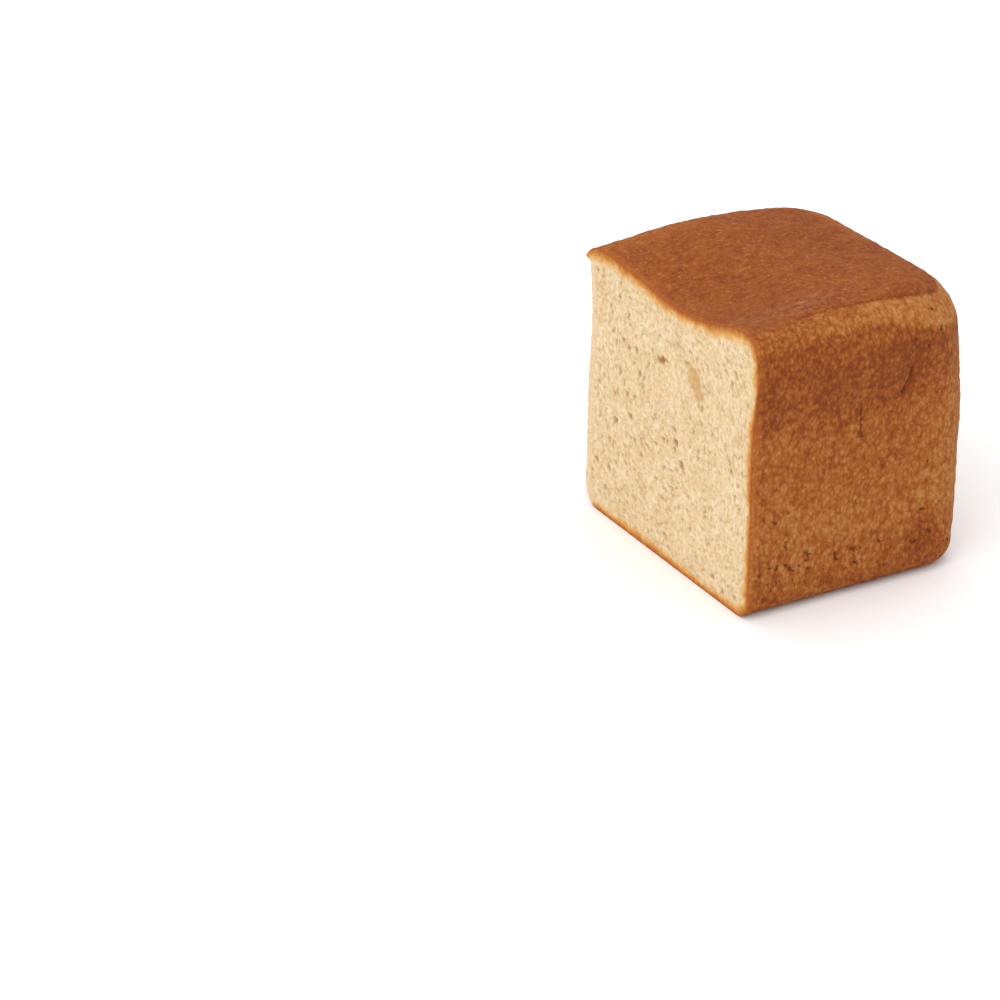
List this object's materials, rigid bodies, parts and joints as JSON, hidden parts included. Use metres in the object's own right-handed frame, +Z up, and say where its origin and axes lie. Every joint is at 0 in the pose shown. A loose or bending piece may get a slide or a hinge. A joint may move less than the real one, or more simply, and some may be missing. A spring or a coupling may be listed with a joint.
{
  "type": "brown bread loaf end",
  "caption": "Uncut end of a square tin loaf of brown bread: a block with one knife-cut crumb face, rounded baked edges and a flat base.",
  "frame": {"origin": "on the floor under the middle of the block's box", "axes": "+Z up, the knife-cut face looks along -X and the baked heel along +X, the near side wall along -Y"},
  "size_m": [0.091, 0.106, 0.1038],
  "materials": {
    "crust": "matt baked crust, finely pitted, reddish brown at the top and golden lower down",
    "crumb": "matt open crumb with fine pores"
  },
  "bodies": {
    "root": {"loaf": "crust"}
  },
  "joints": []
}
